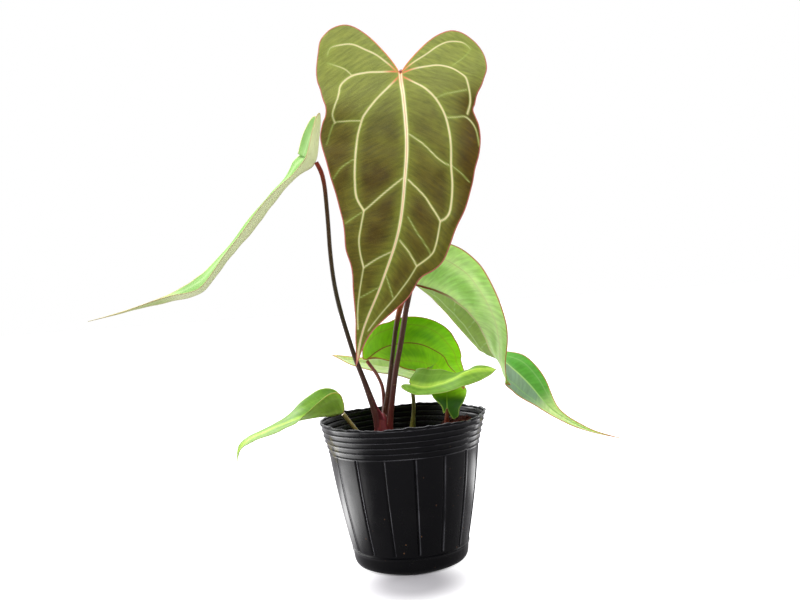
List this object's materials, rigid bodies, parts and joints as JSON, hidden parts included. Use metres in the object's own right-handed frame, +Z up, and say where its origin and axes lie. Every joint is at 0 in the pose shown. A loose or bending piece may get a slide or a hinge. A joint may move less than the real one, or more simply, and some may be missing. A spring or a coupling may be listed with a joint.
{
  "type": "potted foliage plant",
  "caption": "Young velvet-leaved aroid with large heart-shaped hanging blades on long slender petioles, standing in a thin ribbed nursery pot.",
  "frame": {"origin": "centre of the pot's flat foot, where it stands", "axes": "+Z up, -Y towards the front of the plant, +X to the viewer's right"},
  "size_m": [0.3392, 0.118, 0.3352],
  "materials": {
    "velvet_blade": "velvety, dark olive with pale veins",
    "green_blade": "satin leaf green with pale veins",
    "bright_blade": "satin bright green with a reddish margin",
    "pale_blade": "satin pale green",
    "maroon_petiole": "satin dark maroon",
    "olive_petiole": "satin olive brown",
    "potting_mix": "loose, granular, dull",
    "black_plastic": "thin glossy black"
  },
  "bodies": {
    "root": {"blade_front": "velvet_blade", "petiole_front": "maroon_petiole", "blade_right": "green_blade", "petiole_right": "olive_petiole", "blade_left": "green_blade", "petiole_left": "olive_petiole", "blade_middle": "bright_blade", "petiole_middle": "maroon_petiole", "blade_back": "pale_blade", "petiole_back": "olive_petiole", "blade_small_right": "green_blade", "petiole_small_right": "olive_petiole", "blade_small_left": "green_blade", "petiole_small_left": "olive_petiole", "blade_seedling": "bright_blade", "petiole_seedling": "maroon_petiole", "crown": "maroon_petiole", "soil": "potting_mix", "pot": "black_plastic"}
  },
  "joints": []
}
